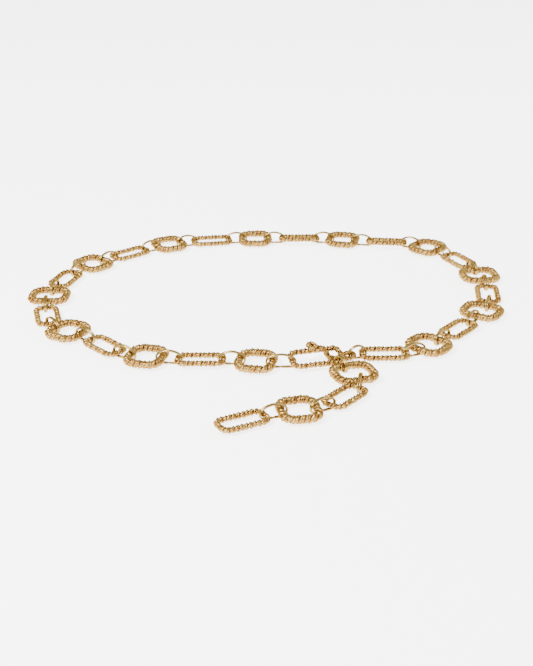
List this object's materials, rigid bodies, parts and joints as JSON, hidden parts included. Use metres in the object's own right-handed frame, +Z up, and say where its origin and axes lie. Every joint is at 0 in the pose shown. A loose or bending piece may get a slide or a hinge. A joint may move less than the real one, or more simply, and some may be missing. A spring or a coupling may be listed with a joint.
{
  "type": "waist chain",
  "caption": "Gold-coloured waist chain of long and wide textured wire links joined by double jump rings, fastened by a doubled wire hook with a free tail.",
  "frame": {"origin": "on the surface under the middle of the laid chain", "axes": "+X to the right, +Y to the back, +Z up from the surface the chain lies on"},
  "size_m": [0.332, 0.3232, 0.0125],
  "materials": {
    "long_link_wire": "twisted wire, polished gold plating with dark hollows",
    "wide_link_wire": "thick roped wire, polished gold plating with dark hollows",
    "ring_wire": "smooth polished gold plating",
    "hook_wire": "knobbly wire, polished gold plating"
  },
  "bodies": {
    "root": {"long_link_1": "long_link_wire", "wide_link_1": "wide_link_wire", "long_link_2": "long_link_wire", "wide_link_2": "wide_link_wire", "long_link_3": "long_link_wire", "wide_link_3": "wide_link_wire", "long_link_4": "long_link_wire", "wide_link_4": "wide_link_wire", "long_link_5": "long_link_wire", "wide_link_5": "wide_link_wire", "long_link_6": "long_link_wire", "wide_link_6": "wide_link_wire", "long_link_7": "long_link_wire", "wide_link_7": "wide_link_wire", "long_link_8": "long_link_wire", "wide_link_8": "wide_link_wire", "long_link_9": "long_link_wire", "wide_link_9": "wide_link_wire", "long_link_10": "long_link_wire", "wide_link_10": "wide_link_wire", "long_link_11": "long_link_wire", "wide_link_11": "wide_link_wire", "long_link_12": "long_link_wire", "wide_link_12": "wide_link_wire", "long_link_13": "long_link_wire", "wide_link_13": "wide_link_wire", "long_link_14": "long_link_wire", "wide_link_14": "wide_link_wire", "long_link_15": "long_link_wire", "hook_clasp": "hook_wire", "rings_front_left": "ring_wire", "rings_back_left": "ring_wire", "rings_back_right": "ring_wire", "rings_front_right": "ring_wire", "rings_tail": "ring_wire"}
  },
  "joints": []
}
